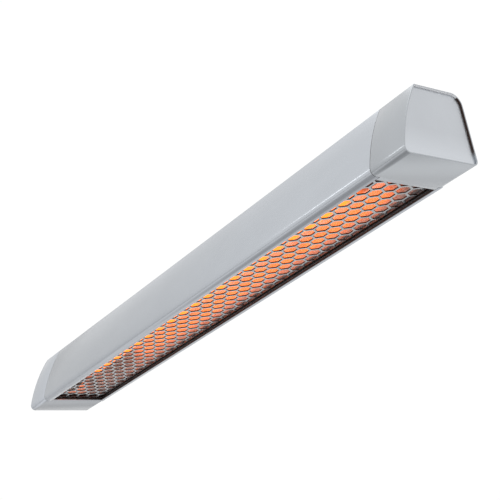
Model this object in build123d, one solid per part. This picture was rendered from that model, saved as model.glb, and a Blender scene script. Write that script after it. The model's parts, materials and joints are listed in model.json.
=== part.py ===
from build123d import *
import math
import os

# Infrared strip heater, millimetres.
# X runs along the heater, towards the end with the cable gland. -Y is the sloping front,
# +Y the flat back, +Z up. The origin is on the underside, at the middle of the length and depth.

# ---------------------------------------------------------------- driving dimensions
LENGTH = 707.0
DEPTH = 82.0
HEIGHT = 67.4
CAP_LENGTH = 41.0          # length of an end cap's outer sleeve
TONGUE_REACH = 5.0         # how far a cap's floor reaches in between the two lips
WALL = 1.8
CAP_WALL = 2.6

# Outline of the cross-section: a trapezoid with a bowed front and a flat back.
BACK_Y = DEPTH / 2
FRONT_FOOT_Y = -42.4       # where the front face would meet the underside, before rounding
FRONT_TOP_Y = -12.48       # where the front face meets the top
FRONT_BOW = 3.68           # how far the front face bows out between those two
FRONT_FOOT_R = 5.5
FRONT_TOP_R = 1.5
BACK_TOP_R = 11.0
BACK_FOOT_R = 3.2
CAP_BACK_FOOT_R = 5.5      # the caps are rounder there

# Open underside and the guard behind it.
FRONT_LIP_Y = -32.1
REAR_LIP_Y = 34.7
CELL_PITCH = 14.0          # distance between parallel sides of neighbouring cells
BAR_WIDTH = 2.2
GRILLE_T = 1.2
GRILLE_Z = 4.3             # underside of the guard, above the lips' underside
GRILLE_FRONT_Y = -37.0
GRILLE_REAR_Y = 33.2
FIRST_CELL_X = 13.4        # centre of a cell, near the middle of the length
FIRST_CELL_Y = -21.6

# Reflector: half an ellipse, open downwards.
REFLECTOR_T = 0.8
REFLECTOR_Y = 1.2
REFLECTOR_Z = 8.3
REFLECTOR_HALF_WIDTH = 32.2
REFLECTOR_RISE = 40.0
REFLECTOR_FLANGES = (-36.6, 37.6)
END_REFLECTOR_X = 305.6
END_REFLECTOR_RIM = 5.6

# Tubular heating element.
ELEMENT_Z = 21.0
ELEMENT_R = 4.2
ELEMENT_END_X = 322.0
PIN_R = 1.3
PIN_END_X = 336.0
HANGER_X = 105.0

# End plates.
RIM_T = 1.3                # thin rim of the cap around the plate
PLATE_RECESS = 1.5
PLATE_T = 2.0
PLATE_GAP = 0.12
GASKET_T = 1.0
GASKET_WIDTH = 1.1
BULKHEAD_T = 2.0

# Screws (radii).
PORT_R = 4.4
PORT_HOLE_R = 1.75
PORT_DEPTH = 16.0
PORTS = [(-8.8, 61.2), (33.7, 60.1), (35.0, 32.0)]
FIT_GAP = 0.05

# Cable gland in the top of the near cap.
GLAND_X = 326.0
GLAND_Y = 19.0
GLAND_STEM_R = 8.0
GLAND_AF = 20.0
CABLE_R = 3.7

# Terminals, cut-out, earth stud and wiring, on the near cap's floor and bulkhead.
BLOCK_X = (320.0, 340.0)
BLOCK_Y = (-31.0, -9.0)
BLOCK_TOP_Z = 17.0
CUTOUT_Y = -2.0
CUTOUT_Z = 44.0
EARTH_Y = 12.0
EARTH_Z = 34.0
LEAD_R = 1.1
LEAD_BEND = 2.2

# Tilting brackets.
BRACKET_X = 215.0
PIVOT_Y = 24.0
PIVOT_RISE = 9.0           # pivot above the top of the housing
PIVOT_R = 2.5
EAR_R = 5.5
SHEET_T = 2.0
FOOT_EAR_X = 30.0          # inner face of the foot's ears, from the bracket's middle
ARM_EAR_X = 29.0           # outer face of the arm's ears
ARM_TOP_RISE = 16.0        # top of the arm's plate above the housing
ARM_DEPTH = 24.0
SLOT_SPACING = 34.0
SLOT_LENGTH = 12.0
SLOT_WIDTH = 6.5

# Worked out from the above.
HALF = LENGTH / 2
SEAM_X = HALF - CAP_LENGTH
PLATE_OUT_X = HALF - PLATE_RECESS
PLATE_IN_X = PLATE_OUT_X - PLATE_T
LEDGE_X = PLATE_IN_X - GASKET_T
CAP_INSIDE_X = SEAM_X + BULKHEAD_T
PIVOT_Z = HEIGHT + PIVOT_RISE


# ---------------------------------------------------------------- helpers
def slab(section, x_start, x_end):
    """A section drawn in (Y, Z), pulled along X."""
    return extrude(Plane.YZ.offset(x_start) * section, amount=x_end - x_start)


def rect(y_low, y_high, z_low, z_high):
    """A rectangle in a (Y, Z) section."""
    centre = Pos((y_low + y_high) / 2, (z_low + z_high) / 2)
    return centre * Rectangle(y_high - y_low, z_high - z_low)


def dot(y, z, radius):
    """A disc in a (Y, Z) section."""
    return Pos(y, z) * Circle(radius)


def block(x_low, x_high, y_low, y_high, z_low, z_high):
    """A box given by its corners."""
    centre = Pos((x_low + x_high) / 2, (y_low + y_high) / 2, (z_low + z_high) / 2)
    return centre * Box(x_high - x_low, y_high - y_low, z_high - z_low)


def rod_x(y, z, radius, x_start, x_end):
    """A round bar along X."""
    return slab(dot(y, z, radius), x_start, x_end)


def rod_z(x, y, radius, z_low, z_high):
    """A round bar along Z."""
    return Pos(x, y, (z_low + z_high) / 2) * Cylinder(radius, z_high - z_low)


def hex_z(x, y, across_flats, z_low, z_high):
    """A hexagonal bar along Z."""
    section = RegularPolygon(across_flats / 2, 6, major_radius=False, rotation=30)
    return Pos(x, y, z_low) * extrude(section, amount=z_high - z_low)


def hex_x(y, z, across_flats, x_start, x_end):
    """A hexagonal bar along X."""
    section = Pos(y, z) * RegularPolygon(across_flats / 2, 6, major_radius=False)
    return slab(section, x_start, x_end)


def far_side(part):
    """The same piece at the other end of the heater."""
    return mirror(part, about=Plane.YZ)


def wire(points, bend, radius):
    """A round lead along straight runs with rounded corners."""
    path = FilletPolyline(*points, radius=bend)
    start = Plane(origin=path @ 0, z_dir=path % 0)
    return sweep(start * Circle(radius), path=path)


# ---------------------------------------------------------------- sections
def outline(inset=0.0, back_foot_r=BACK_FOOT_R):
    """The housing's outline in (Y, Z), moved inwards by inset."""
    chord = Vector(FRONT_TOP_Y - FRONT_FOOT_Y, HEIGHT)
    outwards = Vector(-chord.Y, chord.X).normalized()
    bowed = Vector(FRONT_FOOT_Y, 0) + chord / 2 + outwards * FRONT_BOW
    foot, top = (FRONT_FOOT_Y, 0), (FRONT_TOP_Y, HEIGHT)
    back_top, back_foot = (BACK_Y, HEIGHT), (BACK_Y, 0)
    edges = [
        ThreePointArc(foot, bowed, top),
        Line(top, back_top),
        Line(back_top, back_foot),
        Line(back_foot, foot),
    ]
    face = make_face(edges).face()
    corners = [
        (foot, FRONT_FOOT_R),
        (top, FRONT_TOP_R),
        (back_top, BACK_TOP_R),
        (back_foot, back_foot_r),
    ]
    for (y, z), radius in corners:
        near = face.vertices().sort_by_distance(Vector(y, z))[0]
        face = face.fillet_2d(radius, [near])
    if inset:
        return offset(Sketch() + face, amount=-inset)
    return Sketch() + face


def cap_outline(inset=0.0):
    return outline(inset, CAP_BACK_FOOT_R)


def ellipse_band(grow_in, grow_out):
    """The upper half of an elliptical ring that follows the reflector."""
    outer = Ellipse(REFLECTOR_HALF_WIDTH + grow_out, REFLECTOR_RISE + grow_out)
    band = outer - Ellipse(REFLECTOR_HALF_WIDTH + grow_in, REFLECTOR_RISE + grow_in)
    upper = rect(-60, 60, 0, 80)
    return Pos(REFLECTOR_Y, REFLECTOR_Z) * (band & upper)


def ellipse_fill(grow):
    """The upper half of an ellipse that follows the reflector."""
    whole = Ellipse(REFLECTOR_HALF_WIDTH + grow, REFLECTOR_RISE + grow)
    return Pos(REFLECTOR_Y, REFLECTOR_Z) * (whole & rect(-60, 60, 0, 80))


# ---------------------------------------------------------------- housing
def housing_extrusion():
    section = outline() - outline(WALL)
    section -= rect(FRONT_LIP_Y, REAR_LIP_Y, -1, WALL + 1)
    ribs = rect(35.6, BACK_Y, 5.8, 8.2)
    ribs += rect(FRONT_FOOT_Y, -34.4, 5.8, 8.2)
    ribs += rect(FRONT_FOOT_Y, -34.4, 2.7, 4.1)
    for y, z in PORTS:
        ribs += dot(y, z, PORT_R)
    section += ribs & outline(WALL / 2)
    for y, z in PORTS:
        section -= dot(y, z, PORT_HOLE_R)
    body = slab(section, -SEAM_X, SEAM_X)
    for x in foot_screw_places():
        body -= rod_z(x, PIVOT_Y - 2.5, 2.1, HEIGHT - 10, HEIGHT + 1)
    return body


def near_end_cap():
    """Sleeve with a bulkhead at its inner end, a rebate for the plate and a floor tongue."""
    shell = slab(cap_outline(), SEAM_X, HALF)
    shell -= slab(cap_outline(CAP_WALL), CAP_INSIDE_X, HALF + 1)
    shell -= slab(cap_outline(RIM_T), LEDGE_X, HALF + 1)
    shell += block(SEAM_X - TONGUE_REACH, SEAM_X, FRONT_LIP_Y + 0.15, REAR_LIP_Y - 0.15, 0, WALL)
    shell += block(SEAM_X - 2.5, SEAM_X, FRONT_LIP_Y + 2, REAR_LIP_Y - 2, 0, GRILLE_Z - 0.1)
    shell -= rod_x(0, ELEMENT_Z, 7.0, SEAM_X - 1, CAP_INSIDE_X + 1)
    shell -= rod_x(6, 57, 5.5, SEAM_X - 1, CAP_INSIDE_X + 1)
    for y, z in PORTS:
        shell -= rod_x(y, z, 2.05, SEAM_X - 1, CAP_INSIDE_X + 1)
    return shell


def near_cap_with_gland_hole():
    return near_end_cap() - rod_z(GLAND_X, GLAND_Y, GLAND_STEM_R + 0.1, 50, HEIGHT + 1)


def near_end_plate():
    return slab(cap_outline(RIM_T + PLATE_GAP), PLATE_IN_X, PLATE_OUT_X)


def near_plate_gasket():
    ring = cap_outline(RIM_T + PLATE_GAP) - cap_outline(RIM_T + PLATE_GAP + GASKET_WIDTH)
    return slab(ring, LEDGE_X, PLATE_IN_X)


def near_plate_springs():
    """Two tabs behind the plate, sprung against the cap's floor and ceiling."""
    low_z = CAP_WALL + FIT_GAP
    high_z = HEIGHT - CAP_WALL - FIT_GAP
    tabs = []
    for z_low, z_high, inner in ((low_z, low_z + 0.7, 1), (high_z - 0.7, high_z, -1)):
        leaf = block(PLATE_IN_X - 12, PLATE_IN_X, -4, 4, z_low, z_high)
        root_low = min(z_low, z_low + inner * 6)
        leaf += block(PLATE_IN_X - 0.7, PLATE_IN_X, -4, 4, root_low, root_low + 6.7)
        tabs.append(leaf)
    return tabs


def near_cap_screws():
    screws = []
    for y, z in PORTS:
        screw = rod_x(y, z, PORT_HOLE_R - FIT_GAP, SEAM_X - PORT_DEPTH + 2, CAP_INSIDE_X)
        screw += rod_x(y, z, 3.0, CAP_INSIDE_X, CAP_INSIDE_X + 2.4)
        screw -= hex_x(y, z, 2.5, CAP_INSIDE_X + 1.0, CAP_INSIDE_X + 3)
        screws.append(screw)
    return screws


# ---------------------------------------------------------------- guard and reflector
def cells(radius):
    """Centres of the guard's cells that reach into its outline."""
    column_step = CELL_PITCH * math.sqrt(3) / 2
    first_column = math.floor((-SEAM_X - FIRST_CELL_X - radius) / column_step)
    last_column = math.ceil((SEAM_X - FIRST_CELL_X + radius) / column_step)
    for column in range(first_column, last_column + 1):
        x = FIRST_CELL_X + column * column_step
        shift = CELL_PITCH / 2 if column % 2 else 0.0
        for row in range(-3, 7):
            yield x, FIRST_CELL_Y + row * CELL_PITCH + shift


def hex_guard():
    """Sheet with hexagonal cells. Its rear edge and both ends cut through the cells."""
    corner_r = (CELL_PITCH - BAR_WIDTH) / math.sqrt(3)
    half_length = SEAM_X - 0.3
    border_y = -34.6                       # plain strip along the front, held in its groove
    sheet = Pos(0, (GRILLE_FRONT_Y + GRILLE_REAR_Y) / 2) * Rectangle(
        2 * half_length, GRILLE_REAR_Y - GRILLE_FRONT_Y
    )
    holes = []
    for x, y in cells(corner_r):
        if y + CELL_PITCH / 2 > border_y and y - CELL_PITCH / 2 < GRILLE_REAR_Y:
            holes.append(Pos(x, y) * RegularPolygon(corner_r, 6))
    pattern = sheet - holes
    strip = Pos(0, (GRILLE_FRONT_Y + border_y) / 2) * Rectangle(
        2 * half_length, border_y - GRILLE_FRONT_Y
    )
    pattern += strip
    whole = extrude(Pos(0, 0, GRILLE_Z) * pattern, amount=GRILLE_T)
    return whole.solids().sort_by(SortBy.VOLUME)[-1]


def reflector():
    section = ellipse_band(0, REFLECTOR_T)
    rear_y = REFLECTOR_Y + REFLECTOR_HALF_WIDTH
    front_y = REFLECTOR_Y - REFLECTOR_HALF_WIDTH
    front_end, rear_end = REFLECTOR_FLANGES
    section += rect(rear_y, rear_end, REFLECTOR_Z, REFLECTOR_Z + REFLECTOR_T)
    section += rect(front_end, front_y, REFLECTOR_Z, REFLECTOR_Z + REFLECTOR_T)
    return slab(section, -END_REFLECTOR_X, END_REFLECTOR_X)


def near_end_reflector():
    """Shallow pan that closes the reflector's end and backs against the bulkhead."""
    rim_end = END_REFLECTOR_X + REFLECTOR_T + END_REFLECTOR_RIM
    pan = slab(ellipse_fill(REFLECTOR_T), END_REFLECTOR_X, END_REFLECTOR_X + REFLECTOR_T)
    pan += slab(ellipse_band(0, REFLECTOR_T), END_REFLECTOR_X, rim_end)
    pan -= rod_x(0, ELEMENT_Z, 6.05, END_REFLECTOR_X - 1, END_REFLECTOR_X + 2)
    return pan


# ---------------------------------------------------------------- heating element
def heating_element():
    return rod_x(0, ELEMENT_Z, ELEMENT_R, -ELEMENT_END_X, ELEMENT_END_X)


def near_element_bushing():
    bushing = rod_x(0, ELEMENT_Z, 6.0, END_REFLECTOR_X - 1, END_REFLECTOR_X + 4)
    bushing += rod_x(0, ELEMENT_Z, 8.5, END_REFLECTOR_X + 0.85, END_REFLECTOR_X + 3.4)
    return bushing - rod_x(0, ELEMENT_Z, ELEMENT_R + FIT_GAP, END_REFLECTOR_X - 2, 320)


def element_hangers():
    """A ring round the element with a strap up to the reflector's crown, at two places."""
    hangers = []
    for x in (-HANGER_X, HANGER_X):
        ring_r = ELEMENT_R + FIT_GAP
        hanger = rod_x(0, ELEMENT_Z, ring_r + 0.9, x - 1.5, x + 1.5)
        crown_z = REFLECTOR_Z + REFLECTOR_RISE - 0.2
        hanger += block(x - 1.5, x + 1.5, -0.6, 0.6, ELEMENT_Z + ring_r, crown_z)
        hanger -= rod_x(0, ELEMENT_Z, ring_r, x - 3, x + 3)
        hangers.append(hanger)
    return hangers


def element_beads():
    beads = []
    for side in (-1, 1):
        bead = rod_x(0, ELEMENT_Z, 3.5, side * ELEMENT_END_X, side * (ELEMENT_END_X + 4))
        bead -= rod_x(0, ELEMENT_Z, PIN_R + FIT_GAP, side * 315, side * 340)
        beads.append(bead)
    return beads


def element_pins():
    return [
        rod_x(0, ELEMENT_Z, PIN_R, side * ELEMENT_END_X, side * PIN_END_X)
        for side in (-1, 1)
    ]


# ---------------------------------------------------------------- wiring


def terminal_ways():
    """Middle of the live, neutral and earth ways in the terminal block."""
    step = (BLOCK_Y[1] - BLOCK_Y[0]) / 3
    return [BLOCK_Y[0] + step * (i + 0.5) for i in range(3)]


def terminal_block():
    """Ceramic three-way block on the near cap's floor, with a wire way through each pole."""
    body = block(*BLOCK_X, *BLOCK_Y, CAP_WALL, BLOCK_TOP_Z)
    middle_x = sum(BLOCK_X) / 2
    for y in terminal_ways():
        body -= rod_x(y, 9.0, 1.8, BLOCK_X[0] - 1, BLOCK_X[1] + 1)
        for x in (middle_x - 5, middle_x + 5):
            body -= rod_z(x, y, 2.0, 9.0, BLOCK_TOP_Z + 1)
    return body


def terminal_screws():
    middle_x = sum(BLOCK_X) / 2
    screws = []
    for y in terminal_ways():
        for x in (middle_x - 5, middle_x + 5):
            screw = rod_z(x, y, 1.9, 11.0, 15.5)
            screw -= block(x - 2.5, x + 2.5, y - 0.3, y + 0.3, 14.7, 16)
            screws.append(screw)
    return screws


def thermal_cutout():
    body = rod_x(CUTOUT_Y, CUTOUT_Z, 8.0, CAP_INSIDE_X, CAP_INSIDE_X + 5)
    body += rod_x(CUTOUT_Y, CUTOUT_Z, 6.0, CAP_INSIDE_X + 5, CAP_INSIDE_X + 8)
    for y in (CUTOUT_Y - 4, CUTOUT_Y + 4):
        body += block(CAP_INSIDE_X + 8, CAP_INSIDE_X + 14, y - 0.4, y + 0.4, 41, 47)
    return body


def earth_stud():
    stud = rod_x(EARTH_Y, EARTH_Z, 2.0, CAP_INSIDE_X, CAP_INSIDE_X + 16)
    return stud + rod_x(EARTH_Y, EARTH_Z, 3.4, CAP_INSIDE_X, CAP_INSIDE_X + 1.5)


def earth_nut():
    nut = hex_x(EARTH_Y, EARTH_Z, 7.0, CAP_INSIDE_X + 5, CAP_INSIDE_X + 8.2)
    return nut - rod_x(EARTH_Y, EARTH_Z, 2.0 + FIT_GAP, CAP_INSIDE_X, CAP_INSIDE_X + 20)


def leads():
    """The heater's own wiring: each lead is a round tube with rounded bends."""
    live_y, neutral_y, earth_y = terminal_ways()
    pin_x = PIN_END_X - 3
    blade_x = CAP_INSIDE_X + 14
    block_end = BLOCK_X[1]
    live = [
        (block_end - 2, live_y, 9), (block_end + 5, live_y, 9), (block_end + 5, live_y + 2, 34),
        (blade_x + 5, CUTOUT_Y - 4, 44), (blade_x, CUTOUT_Y - 4, 44),
    ]
    switched = [
        (blade_x, CUTOUT_Y + 4, 44), (blade_x + 6, CUTOUT_Y + 4, 44),
        (blade_x + 9, CUTOUT_Y + 3, 30), (PIN_END_X + 5, 0, ELEMENT_Z), (PIN_END_X, 0, ELEMENT_Z),
    ]
    back = [
        (-PIN_END_X, 0, ELEMENT_Z), (-PIN_END_X - 6, 0, ELEMENT_Z), (-PIN_END_X - 6, 8, 48),
        (-PIN_END_X + 10, 6, 57), (0, 6, 57.5), (pin_x - 10, 6, 57),
        (pin_x + 8, 2, 52.5), (pin_x + 14, -12, 34), (block_end + 6, neutral_y, 12),
        (block_end + 4, neutral_y, 9), (block_end - 2, neutral_y, 9),
    ]
    stud_lead_x = CAP_INSIDE_X + 3.4
    earth = [
        (block_end - 2, earth_y, 9), (block_end + 5, earth_y, 9), (block_end + 6, 5, 18),
        (stud_lead_x + 6, 10, 23), (stud_lead_x, EARTH_Y, 26), (stud_lead_x, EARTH_Y, 31.9),
    ]
    return {"live_lead": live, "switched_lead": switched, "return_lead": back, "earth_lead": earth}


# ---------------------------------------------------------------- cable gland
def gland_body():
    body = rod_z(GLAND_X, GLAND_Y, GLAND_STEM_R, 55, HEIGHT + 10)
    body += hex_z(GLAND_X, GLAND_Y, GLAND_AF, HEIGHT, HEIGHT + 4.5)
    body -= rod_z(GLAND_X, GLAND_Y, 5.5, 50, HEIGHT + 20)
    return body - rod_z(GLAND_X, GLAND_Y, 6.6, HEIGHT - 1, HEIGHT + 20)


def gland_seal():
    seal = rod_z(GLAND_X, GLAND_Y, 6.5, HEIGHT - 1, HEIGHT + 10.4)
    return seal - rod_z(GLAND_X, GLAND_Y, CABLE_R, HEIGHT - 5, HEIGHT + 20)


def gland_dome_nut():
    nut = hex_z(GLAND_X, GLAND_Y, GLAND_AF, HEIGHT + 4.7, HEIGHT + 11)
    dome = rod_z(GLAND_X, GLAND_Y, 9.3, HEIGHT + 11, HEIGHT + 16)
    nut += fillet(dome.faces().sort_by(Axis.Z)[-1].edges(), 3.5)
    nut -= rod_z(GLAND_X, GLAND_Y, GLAND_STEM_R + FIT_GAP, HEIGHT, HEIGHT + 10.2)
    nut -= rod_z(GLAND_X, GLAND_Y, 6.6, HEIGHT + 10, HEIGHT + 10.5)
    return nut - rod_z(GLAND_X, GLAND_Y, 5.0, HEIGHT, HEIGHT + 20)


def gland_locknut():
    top_z = HEIGHT - CAP_WALL - FIT_GAP
    nut = hex_z(GLAND_X, GLAND_Y, GLAND_AF, top_z - 4.5, top_z)
    return nut - rod_z(GLAND_X, GLAND_Y, GLAND_STEM_R + FIT_GAP, 50, 70)


# ---------------------------------------------------------------- tilting brackets
def foot_screw_places():
    return [side * BRACKET_X + step for side in (-1, 1) for step in (-18, 18)]


def ear(x_low, x_high, z_edge):
    """A round-ended ear about the pivot, running to z_edge. x is from the bracket's middle."""
    low, high = sorted((PIVOT_Z, z_edge))
    tab = block(x_low, x_high, PIVOT_Y - EAR_R, PIVOT_Y + EAR_R, low, high)
    return tab + rod_x(PIVOT_Y, PIVOT_Z, EAR_R, x_low, x_high)


def bracket_foot():
    outer = FOOT_EAR_X + SHEET_T
    foot = block(-outer, outer, PIVOT_Y - 13, PIVOT_Y + 6, HEIGHT, HEIGHT + SHEET_T)
    for low in (FOOT_EAR_X, -outer):
        foot += ear(low, low + SHEET_T, HEIGHT)
    foot -= rod_x(PIVOT_Y, PIVOT_Z, PIVOT_R + 0.1, -outer - 1, outer + 1)
    for x in (-18, 18):
        foot -= rod_z(x, PIVOT_Y - 2.5, 2.2, HEIGHT - 1, HEIGHT + 5)
        head = Cone(2.2, 4.1, 1.9, align=(Align.CENTER, Align.CENTER, Align.MAX))
        foot -= Pos(x, PIVOT_Y - 2.5, HEIGHT + SHEET_T + 0.01) * head
    return foot


def bracket_arm():
    top_z = HEIGHT + ARM_TOP_RISE
    plate = block(
        -ARM_EAR_X, ARM_EAR_X, PIVOT_Y - ARM_DEPTH / 2, PIVOT_Y + ARM_DEPTH / 2,
        top_z - SHEET_T, top_z,
    )
    plate = fillet(plate.edges().filter_by(Axis.Z), 4.0)
    for low in (-ARM_EAR_X, ARM_EAR_X - SHEET_T):
        plate += ear(low, low + SHEET_T, top_z - SHEET_T / 2)
    plate -= rod_x(PIVOT_Y, PIVOT_Z, PIVOT_R + FIT_GAP, -40, 40)
    for x in (-SLOT_SPACING / 2, SLOT_SPACING / 2):
        slot = extrude(SlotOverall(SLOT_LENGTH, SLOT_WIDTH), amount=10)
        plate -= Pos(x, PIVOT_Y, top_z - 5) * slot
    return plate


def both_ears(piece):
    """A pivot piece at the +X ear and its mirror image at the -X ear."""
    return [piece, far_side(piece)]


def pivot_bolt():
    bolt = rod_x(PIVOT_Y, PIVOT_Z, PIVOT_R, ARM_EAR_X - SHEET_T - 0.2, FOOT_EAR_X + 8)
    head_x = ARM_EAR_X - SHEET_T - 0.1
    head = rod_x(PIVOT_Y, PIVOT_Z, 4.3, head_x - 2.7, head_x)
    head = fillet(head.faces().sort_by(Axis.X)[0].edges(), 1.2)
    return bolt + head - hex_x(PIVOT_Y, PIVOT_Z, 3.0, head_x - 3, head_x - 1.2)


def ring_x(outer_r, x_start, x_end):
    """A washer on the pivot."""
    return slab(
        dot(PIVOT_Y, PIVOT_Z, outer_r) - dot(PIVOT_Y, PIVOT_Z, PIVOT_R + FIT_GAP), x_start, x_end
    )


def pivot_nut():
    nut_x = FOOT_EAR_X + SHEET_T + 1.0
    nut = hex_x(PIVOT_Y, PIVOT_Z, 8.0, nut_x, nut_x + 4)
    return nut - rod_x(PIVOT_Y, PIVOT_Z, PIVOT_R + FIT_GAP, nut_x - 1, nut_x + 6)


def foot_screw(x):
    y = PIVOT_Y - 2.5
    screw = rod_z(x, y, 2.0, HEIGHT - 7.5, HEIGHT + 1)
    head = Cone(2.0, 3.9, 1.9, align=(Align.CENTER, Align.CENTER, Align.MAX))
    screw += Pos(x, y, HEIGHT + SHEET_T - 0.1) * head
    return screw - hex_z(x, y, 2.5, HEIGHT + 0.6, HEIGHT + 3)


def nut_plate(side):
    middle = side * BRACKET_X
    y = PIVOT_Y - 2.5
    z_top = HEIGHT - WALL - FIT_GAP
    plate = block(middle - 25, middle + 25, y - 5, y + 5, z_top - 3.5, z_top)
    for step in (-18, 18):
        plate -= rod_z(middle + step, y, 2.0 + FIT_GAP, 50, 70)
    return plate


# ---------------------------------------------------------------- the whole heater
def shift(pieces, x):
    return [Pos(x, 0, 0) * piece for piece in pieces]


def all_nodes():
    nodes = {
        "housing_extrusion": [housing_extrusion()],
        "near_end_cap": [near_cap_with_gland_hole()],
        "far_end_cap": [far_side(near_end_cap())],
        "hex_guard": [hex_guard()],
        "reflector": [reflector()],
        "heating_element": [heating_element()],
        "element_hangers": element_hangers(),
        "element_end_beads": element_beads(),
        "element_pins": element_pins(),
        "terminal_block": [terminal_block()],
        "terminal_screws": terminal_screws(),
        "thermal_cutout": [thermal_cutout()],
        "earth_stud": [earth_stud()],
        "earth_nut": [earth_nut()],
        "gland_body": [gland_body()],
        "gland_seal": [gland_seal()],
        "gland_dome_nut": [gland_dome_nut()],
        "gland_locknut": [gland_locknut()],
    }
    ends = {
        "end_plate": [near_end_plate()],
        "plate_gasket": [near_plate_gasket()],
        "plate_springs": near_plate_springs(),
        "cap_screws": near_cap_screws(),
        "end_reflector": [near_end_reflector()],
        "element_bushing": [near_element_bushing()],
    }
    for name, pieces in ends.items():
        nodes["near_" + name] = pieces
        nodes["far_" + name] = [far_side(piece) for piece in pieces]
    for name, points in leads().items():
        nodes[name] = [wire(points, LEAD_BEND, LEAD_R)]
    bracket = {
        "bracket_foot": [bracket_foot()],
        "bracket_arm": [bracket_arm()],
        "pivot_bolts": both_ears(pivot_bolt()),
        "friction_washers": both_ears(ring_x(5.0, ARM_EAR_X + 0.1, FOOT_EAR_X)),
        "pivot_washers": both_ears(ring_x(5.0, FOOT_EAR_X + SHEET_T, FOOT_EAR_X + SHEET_T + 1)),
        "pivot_nuts": both_ears(pivot_nut()),
    }
    for side, end in ((1, "near_"), (-1, "far_")):
        for name, pieces in bracket.items():
            nodes[end + name] = shift(pieces, side * BRACKET_X)
        nodes[end + "nut_plate"] = [nut_plate(side)]
    nodes["foot_screws"] = [foot_screw(x) for x in foot_screw_places()]
    return nodes


def node_shape(pieces):
    solids = []
    for piece in pieces:
        solids += piece.solids()
    return solids[0] if len(solids) == 1 else Compound(children=solids)


os.makedirs("parts", exist_ok=True)
for node, pieces in all_nodes().items():
    export_step(node_shape(pieces), f"parts/{node}.step")
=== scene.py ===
import json
import math

import bmesh
import bpy
from mathutils import Matrix, Vector


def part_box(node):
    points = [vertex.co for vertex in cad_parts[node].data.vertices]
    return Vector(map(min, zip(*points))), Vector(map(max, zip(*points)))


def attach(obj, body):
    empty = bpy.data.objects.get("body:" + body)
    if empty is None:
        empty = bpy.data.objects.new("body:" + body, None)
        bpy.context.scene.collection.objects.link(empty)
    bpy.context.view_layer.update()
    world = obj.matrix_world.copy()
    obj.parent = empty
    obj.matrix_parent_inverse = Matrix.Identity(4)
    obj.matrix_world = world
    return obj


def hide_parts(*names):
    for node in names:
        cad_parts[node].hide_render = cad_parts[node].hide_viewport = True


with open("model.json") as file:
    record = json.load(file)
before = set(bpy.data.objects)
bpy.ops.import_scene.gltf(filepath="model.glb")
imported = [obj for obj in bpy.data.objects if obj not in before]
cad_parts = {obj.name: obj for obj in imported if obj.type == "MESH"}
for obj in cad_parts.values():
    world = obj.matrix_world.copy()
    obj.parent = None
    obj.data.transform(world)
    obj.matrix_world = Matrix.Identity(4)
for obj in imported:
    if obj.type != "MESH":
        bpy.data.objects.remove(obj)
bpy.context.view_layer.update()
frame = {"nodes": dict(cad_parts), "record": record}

# An infrared strip heater seen from below its near end. Metres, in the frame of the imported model:
# X along the heater, -Y its sloping front, +Z up.
CAP_LOW, CAP_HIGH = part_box("near_end_cap")
MM = 0.001

# ---- sizes taken from the frame
HALF_LENGTH = CAP_HIGH.x
SEAM_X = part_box("housing_extrusion")[1].x
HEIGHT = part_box("housing_extrusion")[1].z
BACK_Y = 41.0 * MM

# ---- shapes the frame doesn't name
FRONT_FOOT_Y = -42.4 * MM
FRONT_TOP_Y = -12.48 * MM
FRONT_BOW = 3.68 * MM
FOOT_R = 5.5 * MM
TOP_R = 1.5 * MM
BACK_TOP_R = 11.0 * MM
BACK_FOOT_R = 3.2 * MM
CAP_BACK_FOOT_R = 5.5 * MM
WALL = 1.8 * MM
CAP_WALL = 2.6 * MM
RIM = 1.3 * MM
EDGE = 0.14 * MM
SEAM_GAP = 0.35 * MM
FRONT_LIP_Y = -32.1 * MM
REAR_LIP_Y = 34.7 * MM
FRONT_RIB_Y = -34.4 * MM
REAR_RIB_Y = 35.6 * MM
PORTS = [(-8.8 * MM, 61.2 * MM), (33.7 * MM, 60.1 * MM), (35.0 * MM, 32.0 * MM)]
PORT_R = 4.4 * MM
PORT_HOLE_R = 1.75 * MM
CELL_PITCH = 14.0 * MM
BAR_WIDTH = 2.2 * MM
FIRST_CELL = (13.4 * MM, -21.6 * MM)
REFLECTOR_Y = 1.2 * MM
REFLECTOR_HALF_WIDTH = 32.2 * MM
REFLECTOR_RISE = 40.0 * MM
REFLECTOR_T = 0.8 * MM
REFLECTOR_Z = 8.3 * MM
END_REFLECTOR_X = 305.6 * MM
ELEMENT_Z = 21 * MM
ELEMENT_R = 4.2 * MM
PLATE_EDGE = 0.3 * MM
PLATE_GAP = 0.12 * MM
BAR_EDGE = 0.18 * MM
PIVOT_Y = 24 * MM
PIVOT_Z = 76.4 * MM
PIVOT = (PIVOT_Y, PIVOT_Z)
PIVOT_R = 2.5 * MM
EAR_R = 5.5 * MM
SHEET_T = 2 * MM
FOOT_EAR_X = 30 * MM
ARM_EAR_X = 29 * MM
BRACKET_X = 215 * MM
BEND = 3.2 * MM
FOOT_SCREW_X = (-18 * MM, 18 * MM)
FOOT_SCREW_Y = PIVOT_Y - 2.5 * MM
GLAND_ACROSS = 20 * MM
HOT_START_X = -0.262
HOT_END_X = 0.262

# ---- fineness of the meshes
MERGE = 1e-7
LEAST_R = 0.1 * MM
LEAST_COSINE = 0.45
CORNER_STEPS = 10
FRONT_STEPS = 28
CROWN_STEPS = 96
HEX_SIDE_STEPS = 6
WIRE_STEPS = 12
ROUND_STEPS = 36
SHARP_DEGREES = 32
SHEET_SHARP = 40


# ---- mesh helpers
def arc(centre, radius, start, end, steps):
    """Points on a circle's arc, angles in radians."""
    return [
        (centre[0] + radius * math.cos(start + (end - start) * i / steps),
         centre[1] + radius * math.sin(start + (end - start) * i / steps))
        for i in range(steps + 1)
    ]


def circle(centre, radius, steps=32, turn=0.0):
    return arc(centre, radius, turn, turn + 2 * math.pi * (1 - 1 / steps), steps - 1)


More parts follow.
